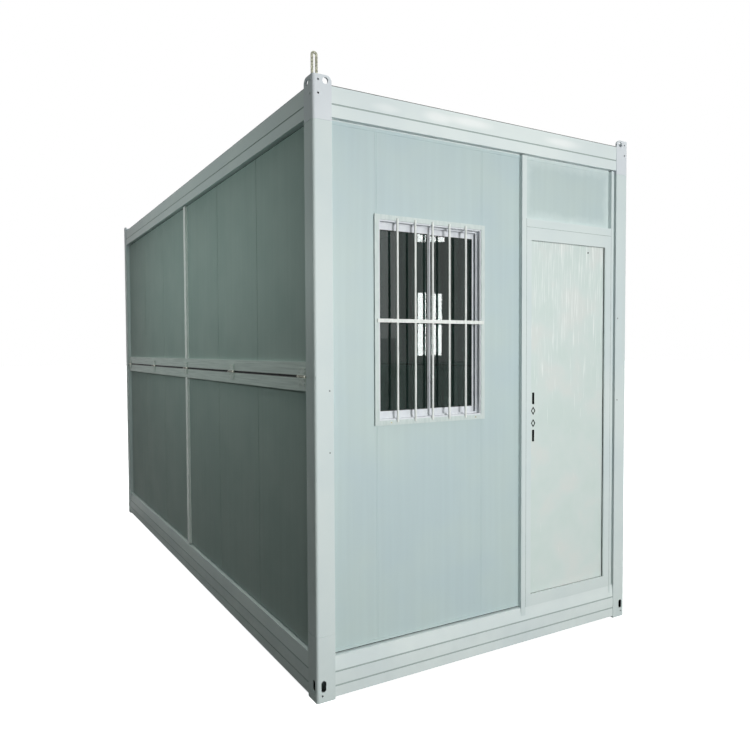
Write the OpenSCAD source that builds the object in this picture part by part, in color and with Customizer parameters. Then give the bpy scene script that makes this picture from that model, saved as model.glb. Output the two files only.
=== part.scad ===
// Folding container house: a steel box frame on corner fittings, with sandwich-panel
// end walls and long side walls that are hinged at mid-height so that the roof folds down.
// The front end wall has a barred sliding window on its left and a door on its right.
// Modules draw in the front left frame: x from the left face, y from the front face, z from the ground.

/* [Overall] */
// Width over the corner posts
unit_w = 2100; // [1950:10:2400]
// Length over the corner posts
unit_l = 4500; // [3800:10:5600]
// Height from the ground to the top of the lifting lugs
unit_h = 2900; // [2800:10:3100]

/* [Floor frame] */
// Height of the beams' underside above the ground
foot_h = 11; // [6:1:25]
// Height of the floor beams' top edge
floor_h = 204; // [180:1:240]
// Sheet thickness of the folded floor and roof beams
beam_t = 4; // [3:0.5:6]
// How far the beams' faces lie behind the posts' faces
beam_set = 3; // [1:0.5:6]
// Width of the beams' inner flanges
flange_w = 92; // [80:1:110]
// Width of the grooves pressed along the beams
groove_w = 6; // [3:1:10]
// Depth of the grooves pressed along the beams
groove_d = 2; // [1:0.5:2.5]
// Height of the floor beams' upper groove
floor_groove_high = 131; // [110:1:160]
// Height of the floor beams' lower groove
floor_groove_low = 64; // [40:1:90]
// How far the floor beams' upper band leans back
floor_lean = 8; // [5:0.5:10]
// Thickness of the floor board
board_t = 18; // [12:1:28]
// Number of joists under the floor board
joist_count = 8; // [4:1:12]
// Width of a joist
joist_w = 50; // [40:1:80]
// Height of a joist
joist_h = 100; // [60:1:130]
// Wall thickness of the joists, rails and uprights
tube_t = 3; // [2:0.5:4]
// Gap between the floor board and the walls
board_gap = 2; // [1:0.5:5]

/* [Corner posts] */
// Width of a post's face
post_w = 96; // [88:1:115]
// Wall thickness of the posts and corner fittings
post_t = 4; // [3:0.5:6]
// Radius of the posts' outer edge
post_round = 14; // [6:1:20]
// Width of the lip beside the wall panels
lip_w = 14; // [10:1:25]
// How far the lip lies behind the post's face
lip_set = 26; // [8:1:32]
// Height of the bottom corner fittings
corner_low_h = 312; // [290:1:360]
// Height of the top corner fittings
corner_top_h = 202; // [190:1:240]
// Height of the fold line in the side walls and posts
fold_z = 1523; // [1450:1:1600]
// Width of the joint lines where the posts meet the fittings
joint_w = 4; // [2:1:8]
// Depth of those joint lines
joint_d = 2; // [1:0.5:2.5]
// Thickness of the base plate under a corner
base_t = 10; // [6:1:16]
// Width of the lashing slot in a bottom fitting
slot_w = 26; // [18:1:36]
// Height of the lashing slot
slot_h = 54; // [40:1:70]
// Height of the lashing slot's centre
slot_z = 76; // [60:1:100]
// Distance of the lashing slot from the corner
slot_x = 35; // [32:1:50]
// Distance of the small hole under the slot from the corner
fix_hole_x = 28; // [24:1:50]
// Height of the small hole under the slot
fix_hole_z = 33; // [24:1:40]

/* [Roof frame] */
// Height of the roof beams
roof_beam_h = 140; // [120:1:170]
// Height of the groove above the roof beams' lower edge
roof_groove = 59; // [40:1:80]
// How far the lifting lugs rise above the roof beams
lug_rise = 42; // [40:1:60]
// Thickness of a lifting lug
lug_t = 10; // [8:1:16]
// Radius of a lug's rounded end
lug_round = 28; // [15:1:35]
// Radius of the lifting hole
lift_r = 15; // [10:0.5:18]
// Distance of the lifting hole from the corner
lift_x = 64; // [56:1:72]
// Distance of the lifting hole below the lug's top
lift_drop = 25; // [22:0.5:27]
// Radius of the small fixing holes in the corner fittings
pin_hole_r = 5; // [3:0.5:7]
// Thickness of the roof sheet
sheet_t = 2; // [1:0.5:3]
// Height of the roof sheet's ribs
rib_h = 18; // [10:1:26]
// Spacing of the roof sheet's ribs
rib_pitch = 250; // [180:10:400]
// Width of a rib at its foot
rib_foot = 70; // [50:1:100]
// Width of a rib at its top
rib_top = 30; // [15:1:45]
// Thickness of the ceiling panel
ceiling_t = 50; // [30:1:75]
// Gap between the ceiling panel and the roof beams
ceiling_gap = 2; // [1:0.5:5]

/* [Lifting eye] */
// Diameter of the lifting eye's bar
eye_bar = 13; // [10:0.5:16]
// Spacing of the lifting eye's legs
eye_legs = 22; // [18:0.5:30]
// Height of the lifting eye above the lugs
eye_rise = 115; // [80:1:140]
// Distance of the lifting eye from the left face
eye_x = 28; // [28:1:50]
// Distance of the lifting eye from the front face
eye_y = 40; // [30:1:42]

/* [Walls] */
// Thickness of the sandwich panels
panel_t = 40; // [36:1:60]
// Width of the black seals round each wall
seal_w = 8; // [5:1:14]
// Height of the rails above and below the fold line
rail_h = 66; // [50:1:80]
// How far the side rails lie behind the posts' faces
rail_set = 13; // [13:0.5:16]
// Width of the middle upright of a side wall
side_mullion_w = 50; // [40:1:80]
// Number of panels in each half of a side wall
bay_panels = 3; // [2:1:4]
// Width of the joints between panels
panel_joint_w = 6; // [3:1:10]
// Depth of the joints between panels
panel_joint_d = 3; // [2:0.5:6]
// Number of panels in the back wall
back_panel_count = 3; // [2:1:4]
// Width of the trims on the end-wall panels' upper and lower edges
trim_w = 14; // [8:1:25]
// How far those trims stand out of the panels
trim_t = 2; // [1:0.5:4]

/* [Side hinges] */
// Radius of a side hinge's barrel
hinge_r = 6; // [5:0.5:6.5]
// Length of a side hinge
hinge_l = 80; // [60:1:120]
// Height of a hinge plate on its rail
hinge_plate_h = 40; // [25:1:50]
// Thickness of a hinge plate
hinge_plate_t = 4; // [3:0.5:6]
// Radius of a side hinge's pin
hinge_pin_r = 2.5; // [2:0.5:3]
// Running clearance between a side hinge's two halves
hinge_gap = 0.5; // [0.3:0.1:1]
// Distance of the outer hinges from the posts' lips
hinge_inset = 50; // [45:1:200]

/* [Window] */
// How far the window opening lies right of the middle of the field beside the door
window_shift = -6; // [-60:1:60]
// Width of the window opening
window_w = 651; // [560:1:690]
// Distance of the window opening below the wall's top
window_drop = 419; // [380:1:600]
// Height of the window opening
window_h = 998; // [800:1:1050]
// Width of the window frame's bars
window_bar = 17; // [14:1:30]
// How far the window frame stands out of the panel
window_proud = 4; // [2:0.5:4]
// How far the window frame reaches behind the panel
window_in = 16; // [0:1:20]
// Width of the sashes' upright bars
sash_stile = 17; // [14:1:30]
// Height of the sashes' level bars
sash_rail = 36; // [25:1:45]
// Thickness of a sash
sash_t = 12; // [10:0.5:16]
// Thickness of the track ribs that the sashes run between
track_t = 2; // [1.5:0.5:3]
// Height of the track ribs
track_h = 8; // [5:1:12]
// Clearance between a sash and its track ribs
track_gap = 1; // [0.5:0.5:1.5]
// Thickness of the glass
glass_t = 5; // [4:0.5:8]
// Width of the grille's flat bars
flat_w = 24; // [18:1:32]
// Thickness of the grille's flat bars
flat_t = 5; // [3:0.5:6]
// How far the grille reaches past the window opening
grille_lap = 14; // [10:1:20]
// Radius of the grille's round bars
grille_r = 6; // [4:0.5:6]
// Height of the grille's middle flat bar
grille_mid_h = 18; // [14:1:25]
// Number of upright bars in the grille
grille_count = 5; // [3:1:7]

/* [Door] */
// Clear width of the door opening
door_w = 588; // [540:1:620]
// Height of the door opening's lower edge
door_z = 271; // [260:1:300]
// Height of the panel over the door
transom_h = 341; // [300:1:450]
// Width of the hinge jamb's face
hinge_jamb_w = 50; // [45:1:65]
// Width of the lock jamb's face
lock_jamb_w = 37; // [30:1:55]
// Width of the upright beside the door
mullion_w = 33; // [25:1:50]
// Width of the edge stile beside the right post
stile_w = 11; // [8:1:20]
// Width of the seal that shows beside the right post
side_seal_w = 10; // [6:1:18]
// Height of the door frame's head
head_h = 71; // [50:1:90]
// Height of the bar over the door
transom_bar_h = 45; // [30:1:60]
// How far the door frame stands out of the panels
frame_proud = 24; // [4:1:28]
// Depth of the door stop
stop_d = 8; // [6:1:28]
// Depth of the rebate that the leaf closes into
rebate = 13; // [8:1:16]
// Thickness of the door leaf
leaf_t = 49; // [30:1:55]
// Gap round the door leaf
leaf_gap = 8; // [4:0.5:9]
// Distance of the lock cut-outs from the leaf's free edge
lock_x = 35; // [30:1:60]
// Height of the lowest lock cut-out
lock_z = 1164; // [1000:1:1250]
// Spacing of the lock cut-outs
lock_step = 70; // [66:1:90]
// Width of the lock's slots
lock_slot_w = 9; // [6:1:14]
// Height of the lock's slots
lock_slot_h = 60; // [40:1:64]
// Width of the diamond marks between the slots
lock_mark_w = 30; // [24:1:40]
// Height of the diamond marks
lock_mark_h = 46; // [36:1:56]
// Width of the diamond marks' groove
lock_groove_w = 6; // [3:0.5:8]
// Depth of the diamond marks' groove
lock_groove_d = 3; // [1:0.5:5]

/* [Door hinges] */
// Radius of a knuckle
knuckle_r = 8; // [7:0.5:10]
// Radius of a hinge pin
pin_r = 4; // [3:0.5:5]
// Running clearance round a pin
pin_gap = 0.1; // [0.05:0.05:0.1]
// Length of the leaf's knuckle
knuckle_l = 48; // [40:1:70]
// Gap between knuckles
knuckle_gap = 1; // [0.5:0.5:2]
// Thickness of a flap
flap_t = 3; // [2:0.5:4]
// Width of a flap
flap_w = 42; // [30:1:50]
// Distance of the outer hinges from the leaf's ends
door_hinge_inset = 220; // [120:5:350]

/* [Hidden] */
$fn = 48;
// reach of cutting tools past a face
past = 1;

lug_top = unit_h;
beam_top = unit_h - lug_rise;
beam_low = beam_top - roof_beam_h;
post_top = unit_h - corner_top_h;

// the wall panels bear on the back of the posts' lips
panel_y = lip_set + post_t;
panel_back = panel_y + panel_t;
wall_low = floor_h + seal_w;
wall_high = beam_low - seal_w;
far_x = unit_w - post_w;
lip_end = post_w + lip_w;

stile_x = far_x - lip_w - side_seal_w - stile_w;
hinge_jamb_x = stile_x - hinge_jamb_w;
door_x = hinge_jamb_x - door_w;
lock_jamb_x = door_x - lock_jamb_w;
mullion_x = lock_jamb_x - mullion_w;
frame_y = panel_y - frame_proud;
stop_y = frame_y + stop_d;
bar_top = wall_high - transom_h;
head_top = bar_top - transom_bar_h;
door_top = head_top - head_h;
// the leaning band's upper edge, and where the band comes out to the front of the uprights
band_y = beam_set + floor_lean;
upright_foot = floor_groove_high + (frame_y - beam_set) / floor_lean * (floor_h - floor_groove_high);

leaf_lap = rebate - leaf_gap;
leaf_y = stop_y + leaf_gap;
leaf_back = leaf_y + leaf_t;
leaf_right = hinge_jamb_x + leaf_lap;
leaf_low = door_z - leaf_lap;
leaf_high = door_top + leaf_lap;
axis_x = hinge_jamb_x + rebate;
axis_y = leaf_back + knuckle_r + knuckle_gap;
flap_end = axis_x - knuckle_r - leaf_gap;
fixed_knuckle_l = knuckle_l / 2;
hinge_span = knuckle_l + 2 * (knuckle_gap + fixed_knuckle_l);
door_hinge_z = [leaf_low + door_hinge_inset, (leaf_low + leaf_high) / 2, leaf_high - door_hinge_inset];

rail_low = fold_z - seal_w / 2 - rail_h;
rail_high = fold_z + seal_w / 2 + rail_h;
mid_y = unit_l / 2;
bay_from = post_w;
bay_to = mid_y - side_mullion_w / 2;
hinge_ends = [lip_end + hinge_inset, unit_l - lip_end - hinge_inset];
hinge_steps = 4;
hinge_x = rail_set - hinge_r;

window_top = wall_high - window_drop;
window_z = window_top - window_h;
window_x = (post_w + mullion_x - window_w) / 2 + window_shift;
window_right = window_x + window_w;
window_y = panel_y - window_proud;
window_back = panel_back + window_in;
grille_y = window_y - flat_t;
sash_w = (window_w - 2 * window_bar + sash_stile) / 2;
sash_h = window_h - 2 * window_bar;
track_step = sash_t + track_t + 2 * track_gap;

// colours as the paint, panels and fittings show them
paint = "#d3dddb";
panel_grey = "#b9c8cb";
side_grey = "#aab4b1";
door_white = "#d8dfdb";
rubber = "#2d3331";
zinc = "#a9a98f";
board_brown = "#a58f6f";
glass_dark = "#39474a";

// Placing helpers

module front_left() {
  translate([-unit_w / 2, -unit_l / 2, 0]) children();
}

module right_side() {
  mirror([1, 0, 0]) front_left() children();
}

module back_end() {
  mirror([0, 1, 0]) front_left() children();
}

module both_sides() {
  front_left() children();
  right_side() children();
}

module four_corners() {
  for (right = [0, 1], back = [0, 1])
    mirror([right, 0, 0]) mirror([0, back, 0]) front_left() children();
}

// the corner's front face and its side face, one drawn as the other's mirror image
module both_faces() {
  children();
  mirror([1, -1, 0]) children();
}

module slab(from, to) {
  translate(from) cube(to - from);
}

// a rectangular tube along the given axis
module tube(from, to, along) {
  wall = tube_t * ([1, 1, 1] - along) - past * along;
  difference() {
    slab(from, to);
    slab(from + wall, to - wall);
  }
}

module upright_hole(x, z, r, depth) {
  translate([x, -past, z]) rotate([-90, 0, 0]) cylinder(r = r, h = depth + past);
}

// Sections

module post_outline(inset) {
  r = post_round;
  translate([r, r]) circle(r - inset);
  translate([r, inset]) square([post_w - r - inset, post_w - 2 * inset]);
  translate([inset, r]) square([post_w - 2 * inset, post_w - r - inset]);
}

module post_section(lips, inset = 0) {
  difference() {
    post_outline(inset);
    translate([post_t, post_t]) square(post_w - 2 * post_t);
  }
  if (lips) both_faces() translate([post_w - inset - past, lip_set]) square([lip_w + past + inset, post_t]);
}

// a folded channel with its web on the left, and grooves pressed along the web
module channel(outline, grooves) {
  difference() {
    polygon(outline);
    for (z = grooves) translate([-past, z - groove_w / 2]) square([groove_d + past, groove_w]);
  }
}

// the floor beams' upper band leans back, and the uprights of the front wall stand over it
module floor_profile() {
  h = floor_h - foot_h;
  bend = floor_groove_high - foot_h;
  channel([[0, 0], [flange_w, 0], [flange_w, beam_t], [beam_t, beam_t], [beam_t, bend],
           [beam_t + floor_lean, h - beam_t], [flange_w, h - beam_t], [flange_w, h],
           [floor_lean, h], [0, bend]],
          [floor_groove_low - foot_h, bend]);
}

module roof_profile() {
  h = roof_beam_h;
  channel([[0, 0], [flange_w, 0], [flange_w, beam_t], [beam_t, beam_t],
           [beam_t, h - beam_t], [flange_w, h - beam_t], [flange_w, h], [0, h]],
          [roof_groove]);
}

// a beam across the front, or along the left side, with its web outwards
module end_beam(z) {
  color(paint) front_left() translate([post_w, beam_set, z]) rotate([90, 0, 90])
    linear_extrude(unit_w - 2 * post_w) children();
}

module side_beam(z) {
  color(paint) front_left() translate([beam_set, unit_l - post_w, z]) rotate([90, 0, 0])
    linear_extrude(unit_l - 2 * post_w) children();
}

// a flat plate over the whole plan, set in from the faces and notched round the corner posts
module notched_plate(set, z, t) {
  difference() {
    front_left() slab([set, set, z], [unit_w - set, unit_l - set, z + t]);
    four_corners() slab([-past, -past, z - past], [post_w + past, post_w + past, z + t + past]);
  }
}

// Floor

module floor_beam_front() end_beam(foot_h) floor_profile();
module floor_beam_back() mirror([0, 1, 0]) floor_beam_front();
module floor_beam_left() side_beam(foot_h) floor_profile();
module floor_beam_right() mirror([1, 0, 0]) floor_beam_left();

module lashing_slot() {
  half = (slot_h - slot_w) / 2;
  for (dz = [-half, half]) upright_hole(slot_x, slot_z + dz, slot_w / 2, post_t + past);
  slab([slot_x - slot_w / 2, -past, slot_z - half], [slot_x + slot_w / 2, post_t + past, slot_z + half]);
}

module floor_corner_fittings() {
  color(paint) four_corners() difference() {
    union() {
      linear_extrude(base_t) post_outline(0);
      linear_extrude(corner_low_h) post_section(false);
      translate([0, 0, floor_h]) linear_extrude(corner_low_h - floor_h) post_section(true);
    }
    both_faces() {
      lashing_slot();
      upright_hole(fix_hole_x, fix_hole_z, pin_hole_r, post_t + past);
    }
  }
}

module floor_joists() {
  first = post_w + joist_w;
  step = (unit_l - 2 * first) / (joist_count - 1);
  edge = beam_set + flange_w;
  color(paint) front_left() for (i = [0:joist_count - 1])
    tube([edge, first + i * step - joist_w / 2, floor_h - joist_h],
         [unit_w - edge, first + i * step + joist_w / 2, floor_h], [1, 0, 0]);
}

module floor_board() {
  color(board_brown) notched_plate(panel_back + board_gap, floor_h, board_t);
}

// Posts, split at the fold line

module post_length(from, to) {
  color(paint) four_corners() {
    translate([0, 0, from]) linear_extrude(to - from) post_section(true, joint_d);
    translate([0, 0, from + joint_w / 2]) linear_extrude(to - from - joint_w) post_section(true);
  }
}

module lower_posts() post_length(corner_low_h, fold_z);
module upper_posts() post_length(fold_z, post_top);

// Roof

module roof_beam_front() end_beam(beam_low) roof_profile();
module roof_beam_back() mirror([0, 1, 0]) roof_beam_front();
module roof_beam_left() side_beam(beam_low) roof_profile();
module roof_beam_right() mirror([1, 0, 0]) roof_beam_left();

module lug_outline() {
  h = lug_top - beam_top + lug_round;
  square([post_w - lug_round, h]);
  square([post_w, h - lug_round]);
  translate([post_w - lug_round, h - lug_round]) circle(lug_round);
}

module lifting_lug() {
  translate([0, lug_t, beam_top - lug_round]) rotate([90, 0, 0]) linear_extrude(lug_t) lug_outline();
}

module roof_corner_fittings() {
  color(paint) four_corners() difference() {
    union() {
      translate([0, 0, post_top]) linear_extrude(beam_top - post_top) post_section(false);
      translate([0, 0, post_top]) linear_extrude(beam_low - post_top) post_section(true);
      translate([0, 0, beam_top - base_t]) linear_extrude(base_t) post_outline(0);
      intersection() {
        both_faces() lifting_lug();
        linear_extrude(lug_top) post_outline(0);
      }
    }
    both_faces() {
      upright_hole(lift_x, lug_top - lift_drop, lift_r, lug_t + past);
      for (drop = [lift_drop, post_w - 2 * pin_hole_r])
        upright_hole(lug_round, lug_top - drop, pin_hole_r, lug_t + past);
    }
  }
}

// outline of one pressed rib, from its left foot to its right foot
function rib_points(y) = [
  [y - rib_foot / 2, 0], [y - rib_top / 2, rib_h], [y + rib_top / 2, rib_h], [y + rib_foot / 2, 0]
];

module roof_sheet() {
  span = unit_l - 2 * (beam_set + flange_w / 2);
  count = floor((span - rib_foot) / rib_pitch);
  top = concat([[-span / 2, 0]],
               [for (i = [0:count]) each rib_points((i - count / 2) * rib_pitch)],
               [[span / 2, 0]]);
  under = [for (i = [len(top) - 1:-1:0]) top[i]];
  width = unit_w - 2 * (beam_set + flange_w / 2);
  color(paint) difference() {
    translate([-width / 2, 0, beam_top]) rotate([90, 0, 90]) linear_extrude(width)
      polygon(concat([for (p = top) p + [0, sheet_t]], under));
    four_corners() slab([-past, -past, beam_top - past],
                        [post_w + past, post_w + past, lug_top]);
  }
}

module ceiling_panel() {
  color(paint) notched_plate(beam_set + beam_t + ceiling_gap, beam_low + beam_t, ceiling_t);
}

module lifting_eye() {
  bend = eye_legs / 2;
  top = lug_top + eye_rise - eye_bar / 2 - bend;
  color(zinc) front_left() translate([eye_x, eye_y, 0]) {
    for (side = [-1, 1]) translate([side * bend, 0, beam_top])
      cylinder(d = eye_bar, h = top - beam_top);
    translate([0, 0, top]) rotate([90, 0, 0]) rotate_extrude(angle = 180)
      translate([bend, 0]) circle(d = eye_bar);
  }
}

// Side walls: two leaves that meet at the fold line

module rails() {
  color(side_grey) for (z = [rail_low, fold_z + seal_w / 2])
    tube([rail_set, lip_end, z], [panel_back, unit_l - lip_end, z + rail_h], [0, 1, 0]);
}

module fold_rails() both_sides() rails();

module mullions() {
  y = [mid_y - side_mullion_w / 2, mid_y + side_mullion_w / 2];
  color(side_grey) {
    tube([rail_set, y[0], wall_low], [panel_back, y[1], rail_low], [0, 0, 1]);
    tube([rail_set, y[0], rail_high], [panel_back, y[1], wall_high], [0, 0, 1]);
  }
}

module side_mullions() both_sides() mullions();

// a row of wall panels as one slab with pressed joints between the panels
module bay_slab(from, to, low, high) {
  step = (to - from) / bay_panels;
  difference() {
    slab([panel_y, from, low], [panel_back, to, high]);
    for (i = [1:bay_panels - 1]) translate([0, from + i * step, 0])
      slab([panel_y - past, -panel_joint_w / 2, low - past],
           [panel_y + panel_joint_d, panel_joint_w / 2, high + past]);
  }
}

module side_panels(low, high) {
  color(panel_grey) {
    bay_slab(bay_from, bay_to, low, high);
    bay_slab(unit_l - bay_to, unit_l - bay_from, low, high);
  }
}

module left_lower_panels() front_left() side_panels(wall_low, rail_low);
module left_upper_panels() front_left() side_panels(rail_high, wall_high);
module right_lower_panels() right_side() side_panels(wall_low, rail_low);
module right_upper_panels() right_side() side_panels(rail_high, wall_high);

module side_seals() both_sides() {
  color(rubber) for (z = [floor_h, fold_z - seal_w / 2, wall_high])
    slab([panel_y + seal_w, post_w, z], [panel_back - seal_w, unit_l - post_w, z + seal_w]);
}

// a knuckle hinge lying along the fold line: the lower half carries the pin and the two outer
// knuckles, the upper half turns on the pin with the middle knuckle
module barrel(r, from, to) {
  translate([hinge_x, to, fold_z]) rotate([90, 0, 0]) cylinder(r = r, h = to - from);
}

module hinge_plate(edge, reach) {
  slab([rail_set - hinge_plate_t, -hinge_l / 2, fold_z + min(edge, reach)],
       [rail_set, hinge_l / 2, fold_z + max(edge, reach)]);
}

module outer_knuckles(r, gap) {
  barrel(r, -hinge_l / 2 - gap, -hinge_l / 6 + gap);
  barrel(r, hinge_l / 6 - gap, hinge_l / 2 + gap);
}

module middle_knuckle(r, gap) {
  barrel(r, -hinge_l / 6 - gap, hinge_l / 6 + gap);
}

module side_hinge() {
  reach = seal_w / 2 + hinge_plate_h;
  difference() {
    union() {
      hinge_plate(-hinge_gap, -reach);
      outer_knuckles(hinge_r, 0);
    }
    middle_knuckle(hinge_r + hinge_gap, hinge_gap);
  }
  barrel(hinge_pin_r, -hinge_l / 2, hinge_l / 2);
  difference() {
    union() {
      hinge_plate(hinge_gap, reach);
      middle_knuckle(hinge_r, 0);
    }
    outer_knuckles(hinge_r + hinge_gap, hinge_gap);
    barrel(hinge_pin_r + hinge_gap, -hinge_l, hinge_l);
  }
}

module hinge_row() {
  step = (hinge_ends[1] - hinge_ends[0]) / hinge_steps;
  color(zinc) for (i = [0:hinge_steps]) translate([0, hinge_ends[0] + i * step, 0]) side_hinge();
}

module side_hinges() both_sides() hinge_row();

// Front end wall

module front_slab(x0, x1, low, high, y0, y1) {
  front_left() slab([x0, y0, low], [x1, y1, high]);
}

// a sandwich panel, with a trim beside the post's lip on an edge that lies at the wall's top or bottom
module front_panel(x0, x1, low, high) {
  trim_x = max(x0, lip_end);
  color(panel_grey) {
    front_slab(x0, x1, low, high, panel_y, panel_back);
    if (low == wall_low) front_slab(trim_x, x1, low, low + trim_w, panel_y - trim_t, panel_y);
    if (high == wall_high) front_slab(trim_x, x1, high - trim_w, high, panel_y - trim_t, panel_y);
  }
}

// an upright of the front wall, whose foot runs out over the floor beam's leaning band
module upright(x, w) {
  foot = frame_y < band_y ? [[frame_y, upright_foot], [band_y, floor_h]] : [[frame_y, floor_h]];
  color(paint) front_left() translate([x, 0, 0]) rotate([90, 0, 90]) linear_extrude(w)
    polygon(concat(foot, [[panel_back, floor_h], [panel_back, wall_high], [frame_y, wall_high]]));
}

module front_panel_left() front_panel(post_w, window_x, wall_low, wall_high);
module front_panel_right() front_panel(window_right, mullion_x, wall_low, wall_high);
module front_panel_below() front_panel(window_x, window_right, wall_low, window_z);
module front_panel_above() front_panel(window_x, window_right, window_top, wall_high);
module front_mullion() upright(mullion_x, mullion_w);
module front_stile() upright(stile_x, stile_w);
module transom_panel() front_panel(lock_jamb_x, stile_x, bar_top, wall_high);

module transom_bar() {
  color(paint) front_slab(lock_jamb_x, stile_x, head_top, bar_top, frame_y, panel_back);
}

// seals in the gaps round the front wall, and above and below the back wall
module end_seals() {
  from = panel_y + seal_w;
  to = panel_back - seal_w;
  color(rubber) {
    front_left() {
      slab([post_w, from, floor_h], [mullion_x, to, wall_low]);
      slab([post_w, from, wall_high], [stile_x + stile_w, to, beam_low]);
      slab([stile_x + stile_w, from, floor_h], [far_x, to, wall_high]);
    }
    back_end() for (z = [floor_h, wall_high]) slab([post_w, from, z], [far_x, to, z + seal_w]);
  }
}

// Window: a fixed frame, two sliding sashes and a grille of flat and round bars

// an upright rectangular frame, with the widths of its upright and level bars
module ring(x, z, w, h, bars, y0, y1) {
  front_left() translate([x, y1, z]) rotate([90, 0, 0]) linear_extrude(y1 - y0) difference() {
    square([w, h]);
    translate(bars) square([w, h] - 2 * bars);
  }
}

function track_y(i) = window_back - track_t - i * track_step;

module window_frame() {
  color(door_white) {
    ring(window_x, window_z, window_w, window_h, [window_bar, window_bar], window_y, window_back);
    for (i = [0:2]) ring(window_x, window_z, window_w, window_h,
                         [window_bar + track_h, window_bar + track_h], track_y(i), track_y(i) + track_t);
  }
}

function sash_x(i) = window_x + window_bar + i * (sash_w - sash_stile);
function sash_front(i) = track_y(2 - i) + track_t + track_gap;

module window_sashes() {
  color(door_white) for (i = [0, 1])
    ring(sash_x(i), window_z + window_bar, sash_w, sash_h, [sash_stile, sash_rail],
         sash_front(i), sash_front(i) + sash_t);
}

module window_glass() {
  color(glass_dark, 0.6) front_left() for (i = [0, 1]) {
    low = [sash_x(i) + sash_stile, sash_front(i) + (sash_t - glass_t) / 2,
           window_z + window_bar + sash_rail];
    slab(low, low + [sash_w - 2 * sash_stile, glass_t, sash_h - 2 * sash_rail]);
  }
}

module window_grille() {
  x = window_x - grille_lap;
  z = window_z - grille_lap;
  w = window_w + 2 * grille_lap;
  h = window_h + 2 * grille_lap;
  step = (w - 2 * flat_w) / (grille_count + 1);
  color(door_white) {
    ring(x, z, w, h, [flat_w, flat_w], grille_y, window_y);
    front_left() for (i = [1:grille_count])
      translate([x + flat_w + i * step, window_y - grille_r, z + flat_w / 2])
        cylinder(r = grille_r, h = h - flat_w);
    front_slab(x + flat_w / 2, x + w - flat_w / 2, z + (h - grille_mid_h) / 2, z + (h + grille_mid_h) / 2,
               window_y - 2 * grille_r, window_y);
  }
}

// Door: a rebated frame, and a leaf that opens inwards on its right edge

module jamb(x, w, rebate_side) {
  rebate_x = rebate_side > 0 ? x : x + rebate;
  front_slab(x, x + w, floor_h, head_top, frame_y, stop_y);
  front_slab(rebate_x, rebate_x + w - rebate, floor_h, head_top, stop_y - past, panel_back);
}

module door_jambs() {
  color(door_white) {
    jamb(lock_jamb_x, lock_jamb_w, 1);
    jamb(hinge_jamb_x, hinge_jamb_w, -1);
  }
}

module door_head() {
  color(door_white) {
    front_slab(door_x, hinge_jamb_x, door_top, head_top, frame_y, stop_y);
    front_slab(door_x - rebate, axis_x, door_top + rebate, head_top, stop_y, panel_back);
  }
}

module door_sill() {
  color(door_white) {
    front_slab(door_x, hinge_jamb_x, floor_h, door_z, frame_y, stop_y);
    front_slab(door_x - rebate, axis_x, floor_h, door_z - rebate, stop_y, panel_back);
  }
}

// the lock's cut-outs, drawn round their own centre in the plane of the leaf
module lock_slot() {
  half = (lock_slot_h - lock_slot_w) / 2;
  for (dz = [-half, half]) translate([0, dz]) circle(d = lock_slot_w);
  square([lock_slot_w, 2 * half], center = true);
}

function diamond(w, h) = [[-w / 2, 0], [0, -h / 2], [w / 2, 0], [0, h / 2]];

module lock_mark() {
  difference() {
    polygon(diamond(lock_mark_w, lock_mark_h));
    polygon(diamond(lock_mark_w - 2 * lock_groove_w,
                    lock_mark_h - 2 * lock_groove_w * lock_mark_h / lock_mark_w));
  }
}

// cuts its children into the leaf's front face at a place in the row of lock cut-outs
module lock_cut(place, depth) {
  translate([door_x - leaf_lap + lock_x, leaf_y + depth, lock_z + place * lock_step])
    rotate([90, 0, 0]) linear_extrude(depth + past) children();
}

module door_leaf() {
  color(door_white) front_left() difference() {
    slab([door_x - leaf_lap, leaf_y, leaf_low], [leaf_right, leaf_back, leaf_high]);
    for (place = [0, 3]) lock_cut(place, leaf_t + past) lock_slot();
    for (place = [1, 2]) lock_cut(place, lock_groove_d) lock_mark();
  }
}

module door_hinge_frames() {
  jamb_face = axis_x + knuckle_r - flap_t;
  color(zinc) front_left() for (z = door_hinge_z) {
    translate([axis_x, axis_y, z - hinge_span / 2]) cylinder(r = pin_r, h = hinge_span);
    for (low = [z - hinge_span / 2, z + hinge_span / 2 - fixed_knuckle_l]) {
      translate([axis_x, axis_y, low]) cylinder(r = knuckle_r, h = fixed_knuckle_l);
      slab([jamb_face, panel_back, low], [axis_x + knuckle_r, axis_y, low + fixed_knuckle_l]);
    }
    slab([jamb_face, panel_back, z - hinge_span / 2],
         [stile_x, panel_back + flap_t, z + hinge_span / 2]);
  }
}

module door_hinge_leaves() {
  bore = pin_r + pin_gap;
  color(zinc) front_left() for (z = door_hinge_z) {
    difference() {
      union() {
        translate([axis_x, axis_y, z - knuckle_l / 2]) cylinder(r = knuckle_r, h = knuckle_l);
        slab([flap_end, leaf_back, z - knuckle_l / 2], [axis_x, leaf_back + flap_t, z + knuckle_l / 2]);
      }
      translate([axis_x, axis_y, z - knuckle_l]) cylinder(r = bore, h = 2 * knuckle_l);
    }
    slab([flap_end - flap_w, leaf_back, z - hinge_span / 2],
         [flap_end, leaf_back + flap_t, z + hinge_span / 2]);
  }
}

// Back end wall, plain

module back_panels() {
  span = far_x - post_w;
  step = span / back_panel_count;
  color(panel_grey) back_end() difference() {
    union() {
      slab([post_w, panel_y, wall_low], [far_x, panel_back, wall_high]);
      for (z = [wall_low, wall_high - trim_w])
        slab([lip_end, panel_y - trim_t, z], [unit_w - lip_end, panel_y, z + trim_w]);
    }
    for (i = [1:back_panel_count - 1]) translate([post_w + i * step, 0, 0])
      slab([-panel_joint_w / 2, panel_y - trim_t - past, wall_low - past],
           [panel_joint_w / 2, panel_y + panel_joint_d, wall_high + past]);
  }
}

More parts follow.
